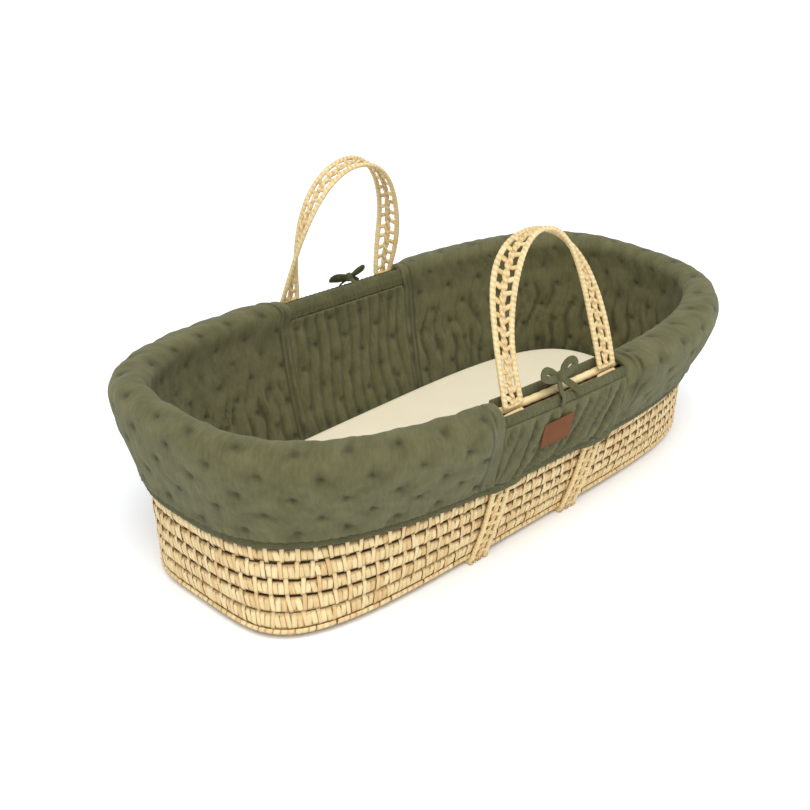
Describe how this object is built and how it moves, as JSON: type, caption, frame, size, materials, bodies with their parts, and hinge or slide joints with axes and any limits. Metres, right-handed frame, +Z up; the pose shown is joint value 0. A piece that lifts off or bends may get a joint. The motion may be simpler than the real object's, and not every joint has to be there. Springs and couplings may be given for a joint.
{
  "type": "moses basket",
  "caption": "Oval woven palm-leaf baby carrying basket with a quilted fabric liner, two hinged strap handles and a mattress in a fitted sheet.",
  "frame": {"origin": "on the floor, under the middle of the basket's outer oval", "axes": "+X along the basket from the head end to the foot end, +Y across it to its back side, +Z up"},
  "size_m": [0.8592, 0.4518, 0.405],
  "materials": {
    "palm": "matte",
    "palm_strap": "matte",
    "quilted_muslin": "matte",
    "muslin_binding": "matte",
    "label_leather": "satin",
    "sheet_cotton": "matte",
    "foam": "matte"
  },
  "bodies": {
    "basket": {"base_mat": "palm", "wall_border_row": "palm_strap", "wall_row_01": "palm", "wall_row_02": "palm", "wall_row_03": "palm", "wall_row_04": "palm", "wall_row_05": "palm", "wall_row_06": "palm", "wall_row_07": "palm", "wall_row_08": "palm", "wall_row_09": "palm", "wall_row_10": "palm", "rim_rod": "palm", "strap_head": "palm_strap", "strap_foot": "palm_strap", "liner_base": "quilted_muslin", "liner_head_panel": "quilted_muslin", "liner_foot_panel": "quilted_muslin", "liner_front_inner_flap": "quilted_muslin", "liner_front_outer_flap": "quilted_muslin", "front_inner_binding": "muslin_binding", "front_outer_binding": "muslin_binding", "liner_back_inner_flap": "quilted_muslin", "liner_back_outer_flap": "quilted_muslin", "back_inner_binding": "muslin_binding", "back_outer_binding": "muslin_binding", "hem_band": "muslin_binding", "front_tie": "muslin_binding", "back_tie": "muslin_binding", "leather_label": "label_leather"},
    "front_handle_arch": {"front_handle": "palm_strap"},
    "back_handle_arch": {"back_handle": "palm_strap"},
    "mattress": {"mattress_foam": "foam", "fitted_sheet": "sheet_cotton"}
  },
  "joints": [
    {"name": "front_handle_hinge", "type": "hinge", "parent": "basket", "child": "front_handle_arch", "pos_m": [0, -0.202, 0.222], "axis": [0.9988, 0, -0.0479], "range_deg": [-42, 107]},
    {"name": "back_handle_hinge", "type": "hinge", "parent": "basket", "child": "back_handle_arch", "pos_m": [0, 0.202, 0.222], "axis": [0.9988, 0, -0.0479], "range_deg": [-92, 50.5]},
    {"name": "mattress_lift", "type": "slide", "parent": "basket", "child": "mattress", "axis": [0, 0, 1], "range_m": [0, 0.15]}
  ]
}
